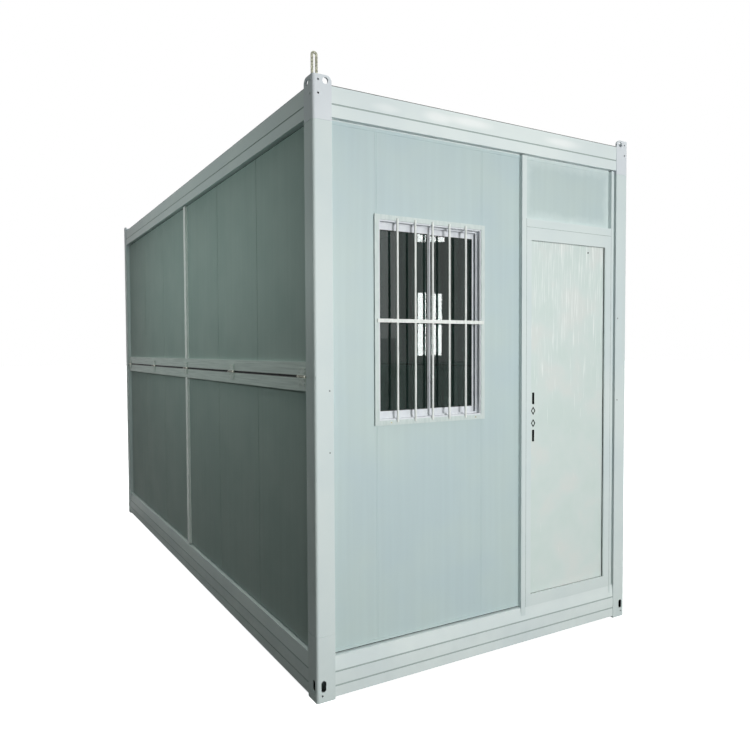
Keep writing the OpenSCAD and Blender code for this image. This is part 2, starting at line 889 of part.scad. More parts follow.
floor_beam_front();
floor_beam_back();
floor_beam_left();
floor_beam_right();
floor_corner_fittings();
floor_joists();
floor_board();
lower_posts();
upper_posts();
roof_beam_front();
roof_beam_back();
roof_beam_left();
roof_beam_right();
roof_corner_fittings();
roof_sheet();
ceiling_panel();
lifting_eye();
fold_rails();
side_mullions();
side_seals();
side_hinges();
left_lower_panels();
left_upper_panels();
right_lower_panels();
right_upper_panels();
front_panel_left();
front_panel_right();
front_panel_below();
front_panel_above();
front_mullion();
front_stile();
end_seals();
transom_panel();
transom_bar();
door_jambs();
door_head();
door_sill();
window_frame();
window_sashes();
window_glass();
window_grille();
back_panels();
door_hinge_frames();
door_hinge_leaves();
door_leaf();
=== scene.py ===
# %% [markdown]
# # A folding container house
# The house is a cabin of folded sheet steel and sandwich panels. Its solids come packed, at their
# real size and place in metres, and stay as they are. This lesson gives each of them its finish, and
# models the small things that a fabricator adds last: screws, welds, gaskets and sealant.

# %% Load the solids
import math

import bpy
from mathutils import Matrix, Quaternion, Vector


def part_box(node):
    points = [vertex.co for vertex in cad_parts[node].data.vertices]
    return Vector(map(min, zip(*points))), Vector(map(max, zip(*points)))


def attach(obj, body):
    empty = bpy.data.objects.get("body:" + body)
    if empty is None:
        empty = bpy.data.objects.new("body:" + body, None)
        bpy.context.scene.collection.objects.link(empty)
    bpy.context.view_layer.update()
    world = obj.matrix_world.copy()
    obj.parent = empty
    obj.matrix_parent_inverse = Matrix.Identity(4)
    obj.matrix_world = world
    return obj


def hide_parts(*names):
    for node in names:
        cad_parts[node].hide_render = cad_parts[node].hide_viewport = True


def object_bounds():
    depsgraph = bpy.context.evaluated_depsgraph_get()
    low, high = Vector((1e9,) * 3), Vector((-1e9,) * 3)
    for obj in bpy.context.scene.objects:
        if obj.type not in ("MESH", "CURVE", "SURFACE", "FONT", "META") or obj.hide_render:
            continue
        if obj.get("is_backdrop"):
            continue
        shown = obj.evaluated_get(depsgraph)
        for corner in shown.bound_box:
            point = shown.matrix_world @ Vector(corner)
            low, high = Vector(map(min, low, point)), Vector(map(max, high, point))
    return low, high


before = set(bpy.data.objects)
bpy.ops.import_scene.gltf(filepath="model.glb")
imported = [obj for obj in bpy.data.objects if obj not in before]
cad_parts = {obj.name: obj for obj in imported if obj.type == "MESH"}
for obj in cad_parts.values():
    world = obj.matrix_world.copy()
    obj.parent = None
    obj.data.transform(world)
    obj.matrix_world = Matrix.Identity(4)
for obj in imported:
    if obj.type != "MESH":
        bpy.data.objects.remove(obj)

cad_low, cad_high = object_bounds()
MM = 0.001
print("solids:", len(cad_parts), "size:", [round(s, 3) for s in cad_high - cad_low])

# %% [markdown]
# ## The camera
# The view is from eye height with a short lens, about 30 degrees to the left of the front. The
# camera's place could be tried by hand until the corners agree. Here it was worked out from the
# corners themselves, which land about five pixels from their places.

# %% Camera
EYE = Vector((-2.389, -5.080, 1.646))
EYE_AZIMUTH = math.radians(30.37)
EYE_DOWN = math.radians(2.05)
EYE_ROLL = math.radians(-0.26)
LENS_MM = 32.76
FAR_CLIP = 300

bpy.ops.object.select_all(action="DESELECT")
bpy.ops.object.camera_add(location=EYE)
camera = bpy.context.object
camera.name = "photo_view"
look = Vector((math.sin(EYE_AZIMUTH) * math.cos(EYE_DOWN),
               math.cos(EYE_AZIMUTH) * math.cos(EYE_DOWN), -math.sin(EYE_DOWN)))
camera.rotation_mode = "QUATERNION"
camera.rotation_quaternion = look.to_track_quat("-Z", "Y") @ Quaternion((0, 0, 1), EYE_ROLL)
camera.data.lens = LENS_MM
camera.data.clip_end = FAR_CLIP
bpy.context.scene.camera = camera
print("camera at", [round(c, 2) for c in EYE], "lens", LENS_MM)

# %% [markdown]
# ## Helpers for nodes
# Colours are picked as sRGB hex codes, the way a paint chart gives them, and the shader wants linear
# light. Nodes are added by one function that sets their values and makes their links. A pattern's
# scale is worked out from the size of its features.

# %% Colour and node helpers
def linear(code):
    """An sRGB hex code as linear red, green, blue and alpha."""
    parts = [int(code[i:i + 2], 16) / 255 for i in (1, 3, 5)]
    return [p / 12.92 if p <= 0.04045 else ((p + 0.055) / 1.055) ** 2.4 for p in parts] + [1.0]


def add(tree, kind, inputs=None, stops=(), **settings):
    """Adds a node, or takes one that is there, with its settings, its values and its links."""
    node = kind if isinstance(kind, bpy.types.Node) else tree.nodes.new("ShaderNode" + kind)
    for name, value in settings.items():
        setattr(node, name, value)
    if stops:
        ramp = node.color_ramp.elements
        while len(ramp) < len(stops):
            ramp.new(0.5)
        for element, (position, code) in zip(ramp, stops):
            element.position, element.color = position, linear(code)
    for name, value in (inputs or {}).items():
        if isinstance(value, bpy.types.NodeSocket):
            tree.links.new(value, node.inputs[name])
        else:
            node.inputs[name].default_value = value
    return node


def per_metre(size_mm):
    """The scale of a pattern whose features have this size."""
    return 1 / (size_mm * MM)


# %% [markdown]
# ## Studio
# The house stands on a plain pale floor in soft light, as under a wide porch: most light comes from
# the front, and a little from above. The front lamp stands nearly straight ahead and a little above
# eye height, so the front wall fades towards the ground. The long left side has a weak strip lamp
# above the fold line, a little green, and fades in the same way. The softboxes are there for the
# window, whose glass mirrors them, and the back lamp is for the other two sides. The background is
# white for the camera and for what mirrors it, and the floor is mirrored darker. The floor throws
# little light back, because a pale one would light the walls from below.

# %% Floor
FLOOR_SIZE = 160
FLOOR_GLOW = 0.90
FLOOR_MIRRORED = 0.2
bpy.ops.object.select_all(action="DESELECT")
bpy.ops.mesh.primitive_plane_add(size=FLOOR_SIZE)
floor = bpy.context.object
floor.name = "studio_floor"
floor_paint = bpy.data.materials.new("pale studio floor")
floor_paint.use_nodes = True
tree = floor_paint.node_tree
path = add(tree, "LightPath")
seen = add(tree, "Math", {0: path.outputs["Is Camera Ray"], 1: path.outputs["Is Transmission Ray"]},
           operation="MAXIMUM")
pale = add(tree, "Math", {0: seen.outputs[0], 1: path.outputs["Is Glossy Ray"]}, operation="MAXIMUM")
shade = add(tree, "ValToRGB", {"Fac": pale.outputs[0]}, stops=[(0, "#1c2421"), (1, "#f2f4f4")])
faint = add(tree, "Math", {0: path.outputs["Is Glossy Ray"], 1: FLOOR_MIRRORED}, operation="MULTIPLY")
glow = add(tree, "Math", {0: seen.outputs[0], 1: FLOOR_GLOW, 2: faint.outputs[0]},
           operation="MULTIPLY_ADD")
add(tree, tree.nodes["Principled BSDF"], {
    "Base Color": shade.outputs["Color"], "Roughness": 0.9, "Specular IOR Level": 0.0,
    "Emission Color": linear("#ffffff"), "Emission Strength": glow.outputs[0]})
floor.data.materials.append(floor_paint)
floor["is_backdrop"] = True
print("floor:", FLOOR_SIZE, "m wide")

# %% World
SKY_LIGHT, SKY_FOCUS = 4.5, 16
FRONT_LIGHT, FRONT_FOCUS = 2.2, 8
world = bpy.data.worlds.new("white studio")
world.use_nodes = True
tree = world.node_tree
path = add(tree, "LightPath")
seen = add(tree, "Math", {0: path.outputs["Is Camera Ray"], 1: path.outputs["Is Glossy Ray"]},
           operation="MAXIMUM")
seen = add(tree, "Math", {0: seen.outputs[0], 1: path.outputs["Is Transmission Ray"]},
           operation="MAXIMUM")
way = add(tree, "SeparateXYZ", {"Vector": add(tree, "TexCoord").outputs["Generated"]})
level = 0.0
for axis, far, light, focus in (("Z", 1.0, SKY_LIGHT, SKY_FOCUS),
                                ("Y", -1.0, FRONT_LIGHT, FRONT_FOCUS)):
    near = add(tree, "MapRange", {"Value": way.outputs[axis], "From Max": far})
    lobe = add(tree, "Math", {0: near.outputs[0], 1: focus}, operation="POWER")
    level = add(tree, "Math", {0: lobe.outputs[0], 1: light, 2: level},
                operation="MULTIPLY_ADD").outputs[0]
dim = add(tree, "Background", {"Color": linear("#eef4ef"), "Strength": level})
white = add(tree, "Background", {"Color": linear("#ffffff"), "Strength": 1.0})
both = add(tree, "MixShader", {0: seen.outputs[0], 1: dim.outputs[0], 2: white.outputs[0]})
add(tree, tree.nodes["World Output"], {"Surface": both.outputs[0]})
bpy.context.scene.world = world
bpy.context.scene.view_settings.view_transform = "Standard"
print("world lit from above", SKY_LIGHT, "and from the front", FRONT_LIGHT)

# %% Lamps
GREENISH = "#e6fff7"
WALL = (0.2, -2.2, 1.6)
LAMPS = {  # place, aim, size in metres and watts
    "front_lamp": ((0.0, -7.25, 2.05), (-0.4, -2.2, 1.65), (1.2, 2.0), 179),
    "softbox_left": ((2.87, -7.0, 2.00), WALL, (0.12, 0.85), 6.0),
    "softbox_right": ((3.13, -7.0, 2.00), WALL, (0.14, 0.85), 7.0),
    "softbox_top": ((3.03, -7.0, 3.27), WALL, (0.39, 0.28), 6.0),
    "softbox_dim": ((2.30, -7.0, 2.60), (-0.6, -2.2, 1.8), (0.26, 1.60), 1.2),
    "back_lamp": ((6.5, 6.5, 4.2), (0.2, 0.6, 1.3), (4.0, 3.0), 560),
    "left_lamp": ((-2.3, -0.2, 2.3), (-1.05, -0.2, 2.25), (3.7, 0.12), 7.4),
}
for name, (place, aim, size, watts) in LAMPS.items():
    bpy.ops.object.select_all(action="DESELECT")
    bpy.ops.object.light_add(type="AREA", location=place)
    lamp = bpy.context.object
    lamp.name = name
    lamp.rotation_euler = (Vector(aim) - Vector(place)).to_track_quat("-Z", "Y").to_euler()
    lamp.data.shape = "RECTANGLE"
    lamp.data.size, lamp.data.size_y = size
    lamp.data.energy = watts
bpy.data.objects["left_lamp"].data.color = linear(GREENISH)[:3]
print("lamps:", ", ".join(LAMPS))

# %% [markdown]
# ## Finishes
# Each finish starts from the real material. All patterns use the solids' own coordinates in metres,
# so a streak that is 20 mm wide is written as 20 mm. Nearly every finish has cloudy tones between two
# colours, so a function mixes them, and another makes the finishes that need little more.

# %% Start of a finish
def start_finish(name, **sockets):
    """A new material, with values on its shader's own sockets, and the coordinates for its patterns."""
    material = bpy.data.materials.new(name)
    material.use_nodes = True
    tree = material.node_tree
    shader = add(tree, tree.nodes["Principled BSDF"],
                 {key.replace("_", " "): value for key, value in sockets.items()})
    where = add(tree, "TexCoord").outputs["Object"]
    print("finish:", name)
    return material, tree, shader, where


def cloudy(tree, where, size_mm, detail, stops):
    """Clouds of this size: their height, and the tone that they give."""
    cloud = add(tree, "TexNoise", {"Vector": where, "Scale": per_metre(size_mm), "Detail": detail})
    tone = add(tree, "ValToRGB", {"Fac": cloud.outputs["Fac"]}, stops=stops)
    return cloud.outputs["Fac"], tone.outputs["Color"]


def cloudy_finish(name, size_mm, detail, stops, relief=(), stretch=(), **sockets):
    """A finish of cloudy tones, which may be stretched and may have relief (strength, depth in mm)."""
    finish, tree, shader, where = start_finish(name, **sockets)
    if stretch:
        where = add(tree, "Mapping", {"Vector": where, "Scale": stretch}).outputs[0]
    height, tone = cloudy(tree, where, size_mm, detail, stops)
    add(tree, shader, {"Base Color": tone})
    if relief:
        strength, depth_mm = relief
        bump = add(tree, "Bump", {"Height": height, "Strength": strength, "Distance": depth_mm * MM})
        add(tree, shader, {"Normal": bump.outputs[0]})
    return finish


# %% [markdown]
# ### Spray enamel
# The frame is folded steel that was spray painted. Enamel is smooth with a fine orange peel, and
# large soft clouds where the coat is thicker. Dust greys it a little near the ground. The grooves that
# are pressed along the beams are darkened with the same grey, as painted shade. The peel of a real
# coat is about 3 mm wide; it is drawn at 12 mm so that it shows. The film that protected the front
# roof beam was pulled off in a hurry, and soft white smears of it are left. The top fittings came
# from another batch of paint.

# %% Spray enamel
DUST_TOP, DUST_MOST, GROOVE_SHADE_HALF = 0.32, 0.3, 3.6 * MM
FILM_MOST = 0.75


def enamel(name, tones, shaded_grooves_mm=(), smears_mm=()):
    """Spray enamel, with dust near the ground, painted shade in the grooves, and smears of film on a beam's
    face.
    """
    finish, tree, shader, where = start_finish(name, Roughness=0.42, Specular_IOR_Level=0.2)
    cloud, coat = cloudy(tree, where, 420, 3.0, [(0.35, tones[0]), (0.65, tones[1])])
    height = add(tree, "SeparateXYZ", {"Vector": where}).outputs["Z"]
    low = add(tree, "MapRange", {"Value": height, "From Max": DUST_TOP, "To Min": DUST_MOST, "To Max": 0.0})
    speck = add(tree, "TexNoise", {"Vector": where, "Scale": per_metre(60), "Detail": 5.0})
    dust = add(tree, "Math", {0: low.outputs[0], 1: speck.outputs["Fac"]}, operation="MULTIPLY")
    # Each groove takes the dust's grey #a3b0ae at full strength: painted shade in the groove, not dust.
    for groove in shaded_grooves_mm:
        inside = add(tree, "Math", {0: height, 1: groove * MM, 2: GROOVE_SHADE_HALF}, operation="COMPARE")
        dust = add(tree, "Math", {0: dust.outputs[0], 1: inside.outputs[0]}, operation="MAXIMUM")
    colour = add(tree, "Mix", {0: dust.outputs[0], 6: coat, 7: linear("#a3b0ae")},
                 data_type="RGBA").outputs[2]
    for x, z, half_x, half_z in smears_mm:
        moved = add(tree, "Mapping", {"Vector": where, "Location": (-cad_low.x - x * MM, 0, -z * MM)})
        patch = add(tree, "Mapping", {"Vector": moved.outputs[0],
                                      "Scale": (per_metre(half_x), 0, per_metre(half_z))})
        far = add(tree, "VectorMath", {0: patch.outputs[0]}, operation="LENGTH")
        film = add(tree, "MapRange", {"Value": far.outputs["Value"], "From Min": 0.2, "From Max": 1.0,
                                      "To Min": FILM_MOST, "To Max": 0.0}, interpolation_type="SMOOTHSTEP")
        satin = add(tree, "Math", {0: film.outputs[0], 1: cloud}, operation="MULTIPLY")
        colour = add(tree, "Mix", {0: satin.outputs[0], 6: colour, 7: linear("#ffffff")},
                     data_type="RGBA").outputs[2]
    peel = add(tree, "TexNoise", {"Vector": where, "Scale": per_metre(12), "Detail": 2.0})
    bump = add(tree, "Bump", {"Height": peel.outputs["Fac"], "Strength": 0.12, "Distance": 0.4 * MM})
    add(tree, shader, {"Base Color": colour, "Normal": bump.outputs[0]})
    return finish


# Heights in mm of the grooves that are darkened as painted shade.
SHADED_GROOVES_MM = (64, 131, 2777)
SMEARS_MM = ((390, 2808, 110, 30), (690, 2815, 120, 38),  # middle and half size, in x and z
             (900, 2822, 200, 34), (1570, 2815, 190, 34))
BEAM_TONES = ("#d8e1e2", "#e0e8e7")
spray_enamel = enamel("spray_enamel", ("#ced9da", "#d6dfde"))
fitting_enamel = enamel("spray_enamel_second_batch", ("#d4d9df", "#dce1e5"))
enamel_with_groove_shade = enamel("spray_enamel_with_painted_groove_shade", BEAM_TONES, SHADED_GROOVES_MM)
filmed_enamel = enamel("spray_enamel_with_film_smears", BEAM_TONES, SHADED_GROOVES_MM, SMEARS_MM)
# The grooves counted here are darkened as painted shade.
print("enamel with dust in", len(SHADED_GROOVES_MM), "grooves")

# %% [markdown]
# ### Prepainted panel skins
# The walls are sandwich panels with a thin coil-coated skin, blue-green grey and half matt. The
# roller leaves faint upright streaks, and the film that protected it leaves pale clouds. The long
# sides are greener. Over the door the film was torn off and left a pale border along the edges.

# %% Panel skins
TEAR = 60 * MM


def film_border(tree, where, skin, film_box):
    """Mixes torn film into a skin near the edges of a box that stands in x and z."""
    place = add(tree, "SeparateXYZ", {"Vector": where})
    nearest = 1.0
    for axis in ("x", "z"):
        for edge in film_box:
            gap = add(tree, "Math", {0: place.outputs[axis.upper()], 1: getattr(edge, axis)},
                      operation="SUBTRACT")
            gap = add(tree, "Math", {0: gap.outputs[0]}, operation="ABSOLUTE")
            nearest = add(tree, "Math", {0: nearest, 1: gap.outputs[0]}, operation="MINIMUM").outputs[0]
    tear = add(tree, "TexNoise", {"Vector": where, "Scale": per_metre(45), "Detail": 3.0})
    reach = add(tree, "Math", {0: tear.outputs["Fac"], 1: -TEAR, 2: nearest}, operation="MULTIPLY_ADD")
    film = add(tree, "MapRange", {"Value": reach.outputs[0], "From Min": -TEAR / 2, "From Max": TEAR / 2,
                                  "To Min": 0.6, "To Max": 0.0})
    return add(tree, "Mix", {0: film.outputs[0], 6: skin, 7: linear("#d3dedd")},
               data_type="RGBA").outputs[2]


def panel_skin(name, tones, film_box=None, **sockets):
    """A coil-coated skin between two tones, with a border of torn film inside a box if one is given."""
    finish, tree, shader, where = start_finish(name, **sockets)
    _, tone = cloudy(tree, where, 380, 2.0, [(0.36, tones[0]), (0.64, tones[1])])
    long_way = add(tree, "Mapping", {"Vector": where, "Scale": (1.0, 1.0, 0.03)})
    streak, lift = cloudy(tree, long_way.outputs[0], 30, 3.0, [(0.4, "#fcfcfc"), (0.64, "#ffffff")])
    skin = add(tree, "Mix", {0: 1.0, 6: tone, 7: lift}, data_type="RGBA", blend_type="MULTIPLY").outputs[2]
    if film_box:
        skin = film_border(tree, where, skin, film_box)
    bump = add(tree, "Bump", {"Height": streak, "Strength": 0.03, "Distance": 0.5 * MM})
    add(tree, shader, {"Base Color": skin, "Normal": bump.outputs[0]})
    return finish


end_skin = panel_skin("coil_coated_end_skin", ("#b5c6c9", "#b9c9c8"), Roughness=0.46)
side_skin = panel_skin("coil_coated_side_skin", ("#b9c8c4", "#c1ceca"), Roughness=0.6,
                       Specular_IOR_Level=0.06)
transom_skin = panel_skin("coil_coated_skin_with_torn_film", ("#b7c7c8", "#bbcac8"),
                          film_box=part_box("transom_panel"), Roughness=0.44)

# %% [markdown]
# ### Brushed rail coat
# The rails at the fold line were coated thinly over drawn tube. The drawing lines show through as
# soft streaks along the rail. A near-black band lies along the fold line: grease from the hinges, and
# painted shade of the gap between the rails.

# %% Brushed rail coat
GREASE_AND_SHADE_HALF = 7 * MM
fold_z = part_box("lower_posts")[1].z
rail_coat, tree, shader, where = start_finish("thin_coat_over_drawn_tube", Roughness=0.42,
                                              Specular_IOR_Level=0.35)
along = add(tree, "Mapping", {"Vector": where, "Scale": (1.0, 0.03, 1.0)})
line, tone = cloudy(tree, along.outputs[0], 9, 4.0, [(0.35, "#b7c4bf"), (0.66, "#cfdad5")])
height = add(tree, "SeparateXYZ", {"Vector": where})
# A near-black band at the fold line: hinge grease, and painted shade of the gap between the rails.
edge = add(tree, "Math", {0: height.outputs["Z"], 1: fold_z, 2: GREASE_AND_SHADE_HALF}, operation="COMPARE")
tone = add(tree, "Mix", {0: edge.outputs[0], 6: tone, 7: linear("#151918")}, data_type="RGBA")
bump = add(tree, "Bump", {"Height": line, "Strength": 0.15, "Distance": 0.4 * MM})
add(tree, shader, {"Base Color": tone.outputs[2], "Normal": bump.outputs[0]})

# %% [markdown]
# ### Door enamel with film marks
# The leaf is stove enamelled, nearly white. Most of the protecting film has been pulled off. It
# leaves fine upright scratches, nearly all on the upper half, and faint clouds.

# %% Door enamel
MATT, GLOSS = 0.38, 0.25
door_enamel, tree, shader, where = start_finish("stove_enamel_with_film_marks")
_, tone = cloudy(tree, where, 190, 2.0, [(0.34, "#cbd8d4"), (0.5, "#cfdad7"), (0.66, "#d4dad7")])
long_way = add(tree, "Mapping", {"Vector": where, "Rotation": (0, math.radians(3), 0),
                                 "Scale": (1.0, 1.0, 0.035)})
streak = add(tree, "TexNoise", {"Vector": long_way.outputs[0], "Scale": per_metre(6), "Detail": 2.0})
height = add(tree, "SeparateXYZ", {"Vector": where})
upper = add(tree, "MapRange", {"Value": height.outputs["Z"], "From Min": 0.9, "From Max": 1.9,
                               "To Min": 0.76, "To Max": 0.55})
mark = add(tree, "MapRange", {"Value": streak.outputs["Fac"], "From Min": upper.outputs[0],
                              "From Max": 0.78, "To Max": 0.9})
film = add(tree, "Mix", {0: mark.outputs[0], 6: tone, 7: linear("#f4f8f6")}, data_type="RGBA")
gloss = add(tree, "MapRange", {"Value": mark.outputs[0], "To Min": MATT, "To Max": GLOSS})
bump = add(tree, "Bump", {"Height": streak.outputs["Fac"], "Strength": 0.10, "Distance": 0.4 * MM})
add(tree, shader, {"Base Color": film.outputs[2], "Roughness": gloss.outputs[0], "Normal": bump.outputs[0]})

# %% [markdown]
# ### White window coat and grille enamel
# The window is powder-coated aluminium, whiter and a little lavender. The grille is brush painted
# steel bar with small runs in the paint; its round bars are painted lighter than its flat frame, as
# painted highlight. White uprights part the long sides; they are painted whiter than the frame, as
# painted highlight on their front edges.

# %% Window coat
window_coat = cloudy_finish("white_powder_coat", 35, 4.0, [(0.35, "#cfd2d8"), (0.65, "#d8dbdf")],
                            relief=(0.06, 0.3), Roughness=0.34)

# %% Grille enamel
BAR_FACE = 20.5 * MM
grille_enamel, tree, shader, where = start_finish("brushed_on_white_enamel_with_painted_highlight_on_bars", Roughness=0.30)
runs = add(tree, "Mapping", {"Vector": where, "Scale": (1.0, 1.0, 0.25)})
grain, flat = cloudy(tree, runs.outputs[0], 14, 4.0, [(0.3, "#bfcbc9"), (0.6, "#cad4d2")])
bars = add(tree, "ValToRGB", {"Fac": grain}, stops=[(0.3, "#d3d7d4"), (0.6, "#e4e7e4")])
depth = add(tree, "SeparateXYZ", {"Vector": where})
# The round bars stand in front of this depth and are painted lighter than the flat frame: painted
# highlight.
painted_highlight_on_bars = add(tree, "Math", {0: depth.outputs["Y"], 1: cad_low.y + BAR_FACE}, operation="LESS_THAN")
tone = add(tree, "Mix", {0: painted_highlight_on_bars.outputs[0], 6: flat, 7: bars.outputs["Color"]}, data_type="RGBA")
bump = add(tree, "Bump", {"Height": grain, "Strength": 0.25, "Distance": 0.5 * MM})
add(tree, shader, {"Base Color": tone.outputs[2], "Normal": bump.outputs[0]})

# %% White uprights, painted whiter as a highlight
# The side uprights are whiter than the frame enamel: painted highlight for the light on their front edges.
upright_painted_highlight = cloudy_finish("white_enamel_as_painted_highlight", 50, 3.0, [(0.35, "#e8eeea"), (0.65, "#f2f5f3")],
                              Roughness=0.35)

# %% [markdown]
# ### Float glass
# Clear glass looks dark here, because the room behind it is closed. What shows is what it mirrors,
# and a thin film of dust with wiped upright smears.

# %% Float glass
float_glass, tree, shader, where = start_finish("dusty_float_glass", IOR=1.50, Transmission_Weight=0.94)
wiped = add(tree, "Mapping", {"Vector": where, "Scale": (1.0, 1.0, 0.12)})
smear, dust = cloudy(tree, wiped.outputs[0], 55, 3.0, [(0.4, "#4a6c62"), (0.8, "#71908a")])
haze = add(tree, "MapRange", {"Value": smear, "From Min": 0.4, "From Max": 0.7, "To Max": 0.03})
add(tree, shader, {"Base Color": dust, "Roughness": haze.outputs[0]})

# %% [markdown]
# ### Rubber, zinc and galvanised wire
# The seals are black EPDM, greyed by dust. The hinges are zinc plated and passivated, which leaves a
# yellowish bloom, and those of the side walls were painted over, which wore off their barrels; the
# bare barrels are made dark, as painted shade along the fold line. The lifting eye is galvanised
# wire. A dull black is painted shade: on the covers and rings at the lock's cut-outs, on the flaps
# in the slots and on a few screw heads, which look like holes from a distance. A grey silicone is
# for the sealant lines.

# %% Rubber
seal_rubber = cloudy_finish("dusty_epdm_rubber", 30, 5.0, [(0.4, "#1d2221"), (0.7, "#3a423f")],
                            relief=(0.2, 0.4), Roughness=0.75)

# %% Black for painted shade, and grey sealant
# A dull black that stands for the shade in cut-outs, slots and countersinks: painted shade.
shade_black = cloudy_finish("black_as_painted_shade", 12, 3.0, [(0.4, "#040505"), (0.75, "#111413")],
                            Roughness=0.9, Specular_IOR_Level=0.0)
grey_sealant = cloudy_finish("grey_silicone_sealant", 25, 3.0, [(0.35, "#8a9795"), (0.7, "#aab5b3")],
                             Roughness=0.5)

# %% Zinc plate
zinc_plate, tree, shader, where = start_finish("yellow_passivated_zinc", Metallic=1.0)
bloom, tone = cloudy(tree, where, 18, 4.0, [(0.35, "#8f8f80"), (0.68, "#cdcbb4")])
wear = add(tree, "MapRange", {"Value": bloom, "To Min": 0.55, "To Max": 0.25})
add(tree, shader, {"Base Color": tone, "Roughness": wear.outputs[0]})

# %% Bright zinc
bright_zinc = cloudy_finish("bright_zinc_plate", 10, 3.0, [(0.35, "#dcdccb"), (0.68, "#f4f4ea")],
                            Metallic=0.6, Roughness=0.3)

# %% Painted hinge with a bare barrel, dark as painted shade
BARREL_R = 6.5 * MM
painted_hinge, tree, shader, where = start_finish("rail_paint_worn_off_the_barrel_in_painted_shade", Roughness=0.42)
height = add(tree, "SeparateXYZ", {"Vector": where})
# Near the fold line the barrel is bare metal, made dark: painted shade along the fold.
bare = add(tree, "Math", {0: height.outputs["Z"], 1: fold_z, 2: BARREL_R}, operation="COMPARE").outputs[0]
bloom, paint = cloudy(tree, where, 14, 4.0, [(0.35, "#bfcac4"), (0.65, "#d8e0da")])
barrel_metal_in_shade = add(tree, "ValToRGB", {"Fac": bloom}, stops=[(0.35, "#3b3d38"), (0.7, "#7f8174")])
tone = add(tree, "Mix", {0: bare, 6: paint, 7: barrel_metal_in_shade.outputs["Color"]}, data_type="RGBA")
add(tree, shader, {"Base Color": tone.outputs[2], "Metallic": bare})

# %% Galvanised wire
galvanised = cloudy_finish("galvanised_wire_strands", 8, 4.0, [(0.35, "#74756a"), (0.62, "#d2d1bd")],
                           relief=(0.4, 0.5), Metallic=0.4, Roughness=0.55)

# %% [markdown]
# ### Roof coat, ceiling and floor board
# The roof sheet is coil coated white, with grey runs where rain dries. The ceiling is a white panel
# skin. The floor is a cement-bonded wood board, brown with fine chips.

# %% Roof coat
roof_coat = cloudy_finish("white_coil_coat_with_rain_marks", 70, 5.0,
                          [(0.35, "#c0c9c8"), (0.62, "#d8dfde")],
                          relief=(0.08, 0.5), stretch=(0.15, 1.0, 1.0), Roughness=0.42)

# %% Ceiling skin
ceiling_skin = cloudy_finish("white_ceiling_skin", 350, 3.0, [(0.35, "#d3d9d7"), (0.65, "#dde3e1")],
                             Roughness=0.5)

# %% Floor board
floor_chip, tree, shader, where = start_finish("cement_bonded_wood_board", Roughness=0.7)
chips = add(tree, "TexVoronoi", {"Vector": where, "Scale": per_metre(16)})
fibre, tone = cloudy(tree, where, 45, 6.0, [(0.3, "#8d7a60"), (0.7, "#b29d7e")])
fleck = add(tree, "Mix", {0: 0.25, 6: tone, 7: chips.outputs["Color"]}, data_type="RGBA",
            blend_type="OVERLAY")
bump = add(tree, "Bump", {"Height": fibre, "Strength": 0.2, "Distance": 0.5 * MM})
add(tree, shader, {"Base Color": fleck.outputs[2], "Normal": bump.outputs[0]})

# %% [markdown]
# ## Finishes on the solids
# Every solid keeps its mesh and takes its finish in its material slot, so nothing is modelled twice.
# One list says which finish goes on which solids, and a line at the end shows if one was forgotten.

# %% Dress the solids
SIDES = ("front", "back", "left", "right")
DRESS = [
    (enamel_with_groove_shade, [f"floor_beam_{side}" for side in SIDES]),
    (enamel_with_groove_shade, [f"roof_beam_{side}" for side in SIDES if side != "front"]),
    (filmed_enamel, ["roof_beam_front"]),
    (fitting_enamel, ["roof_corner_fittings"]),
    (spray_enamel, ["floor_corner_fittings", "lower_posts", "upper_posts",
                    "floor_joists", "front_mullion", "front_stile", "transom_bar",
                    "door_jambs", "door_head", "door_sill"]),
    (end_skin, [f"front_panel_{part}" for part in ("left", "right", "below", "above")]),
    (end_skin, ["back_panels"]),
    (transom_skin, ["transom_panel"]),
    (side_skin, [f"{side}_{half}_panels" for side in ("left", "right") for half in ("lower", "upper")]),
    (rail_coat, ["fold_rails"]),
    (upright_painted_highlight, ["side_mullions"]),
    (door_enamel, ["door_leaf"]),
    (window_coat, ["window_frame", "window_sashes"]),
    (grille_enamel, ["window_grille"]),
    (float_glass, ["window_glass"]),
    (seal_rubber, ["side_seals", "end_seals"]),
    (painted_hinge, ["side_hinges"]),
    (zinc_plate, ["door_hinge_frames", "door_hinge_leaves"]),
    (galvanised, ["lifting_eye"]),
    (roof_coat, ["roof_sheet"]),
    (ceiling_skin, ["ceiling_panel"]),
    (floor_chip, ["floor_board"]),
]
for finish, names in DRESS:
    for name in names:
        for material_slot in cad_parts[name].material_slots:
            material_slot.material = finish
dressed = {name for _, names in DRESS for name in names}
print("dressed:", len(dressed), "left bare:", sorted(set(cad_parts) - dressed))

# %% [markdown]
# ## Helpers for the small pieces
# A small piece is modelled once, round the origin and pointing up, with the same edit-mode tools as
# by hand. It is then copied to every place where it sits, and the copies are joined into one piece.

# %% Select faces
UP, RIGHT = Vector((0, 0, 1)), Vector((1, 0, 0))
FRONT, BACK = Vector((0, -1, 0)), Vector((0, 1, 0))


def alone(piece):
    """Selects one object only, and makes it the active one."""
    bpy.ops.object.select_all(action="DESELECT")
    bpy.context.view_layer.objects.active = piece
    piece.select_set(True)


def pick(piece, way, both=False, least=0.9):
    """Goes into edit mode with the faces selected that look one way, or both ways along that line."""
    alone(piece)
    bpy.ops.object.mode_set(mode="EDIT")
    bpy.ops.mesh.select_mode(type="FACE")
    bpy.ops.mesh.select_all(action="DESELECT")
    bpy.ops.object.mode_set(mode="OBJECT")
    for face in piece.data.polygons:
        along = face.normal.dot(way)
        face.select = (abs(along) if both else along) > least
    bpy.ops.object.mode_set(mode="EDIT")


def bevel(piece, way, offset, segments, both=False):
    """Bevels the edges round the faces that look one way."""
    pick(piece, way, both)
    bpy.ops.mesh.bevel(offset=offset, segments=segments)
    bpy.ops.object.mode_set(mode="OBJECT")


